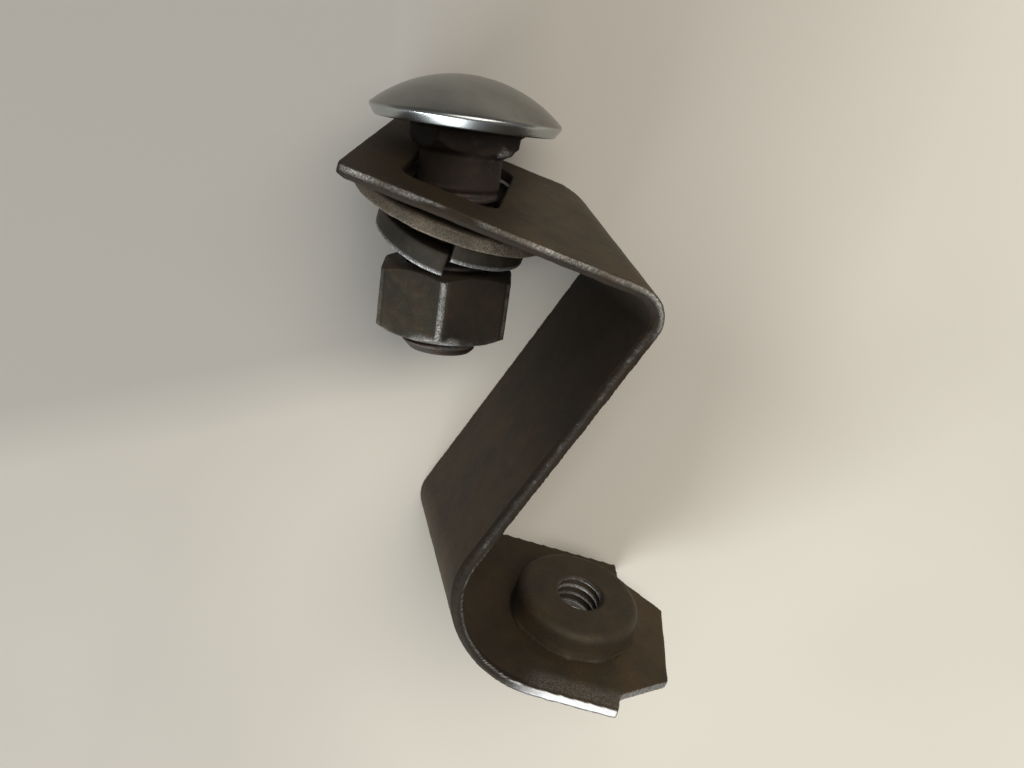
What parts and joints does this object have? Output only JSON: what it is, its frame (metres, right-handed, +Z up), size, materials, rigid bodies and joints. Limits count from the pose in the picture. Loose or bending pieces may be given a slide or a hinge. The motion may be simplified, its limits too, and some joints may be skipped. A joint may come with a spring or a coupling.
{
  "type": "bumper bracket with capped bolt",
  "caption": "Z-folded steel strip bracket with a round threaded weld nut on one flange and a loose capped carriage bolt, flat washer, split lock washer and hex nut on the other.",
  "frame": {"origin": "middle of the box on the surface it lies on, at z = 0", "axes": "+Z up, away from the surface that the far long edge lies on; +X along the top flange's upper edge from its tip to the first fold; +Y from the top flange towards the bolt's head"},
  "size_m": [0.0684, 0.0733, 0.0308],
  "materials": {
    "strip_steel": "dark oxidised mill steel, brown tint, bright sheared edges",
    "weld_nut_steel": "dark oxidised steel",
    "bolt_steel": "rust-brown steel",
    "cap_chrome": "dulled polished chrome, fine scratches",
    "washer_steel": "worn brown-grey steel",
    "spring_steel": "dark spring steel, worn edges",
    "nut_steel": "dark steel with silver worn corners and light rust"
  },
  "bodies": {
    "bracket": {"bracket": "strip_steel", "weld_nut": "weld_nut_steel"},
    "bolt": {"carriage_bolt": "bolt_steel", "head_cap": "cap_chrome"},
    "flat_washer": {"flat_washer": "washer_steel"},
    "lock_washer": {"lock_washer": "spring_steel"},
    "nut": {"hex_nut": "nut_steel"}
  },
  "joints": [
    {"name": "bolt_slide", "type": "slide", "parent": "bracket", "child": "bolt", "axis": [-0.2392, 0.9682, 0.0735], "range_m": [0, 0.0009]},
    {"name": "flat_washer_slide", "type": "slide", "parent": "bracket", "child": "flat_washer", "axis": [-0.2392, 0.9682, 0.0735], "range_m": [0, 0.0009]},
    {"name": "lock_washer_slide", "type": "slide", "parent": "bolt", "child": "lock_washer", "axis": [-0.2392, 0.9682, 0.0735], "range_m": [-0.01, 0]},
    {"name": "nut_turn", "type": "hinge", "parent": "lock_washer", "child": "nut", "pos_m": [-0.01575, 0.0073, 0.01414], "axis": [-0.2392, 0.9682, 0.0735], "range_deg": [-1980, 0]}
  ],
  "couplings": [
    {"joint": "flat_washer_slide", "follows": "bolt_slide", "ratio": 1},
    {"joint": "lock_washer_slide", "follows": "nut_turn", "m_per_rad": 0.00028875}
  ]
}
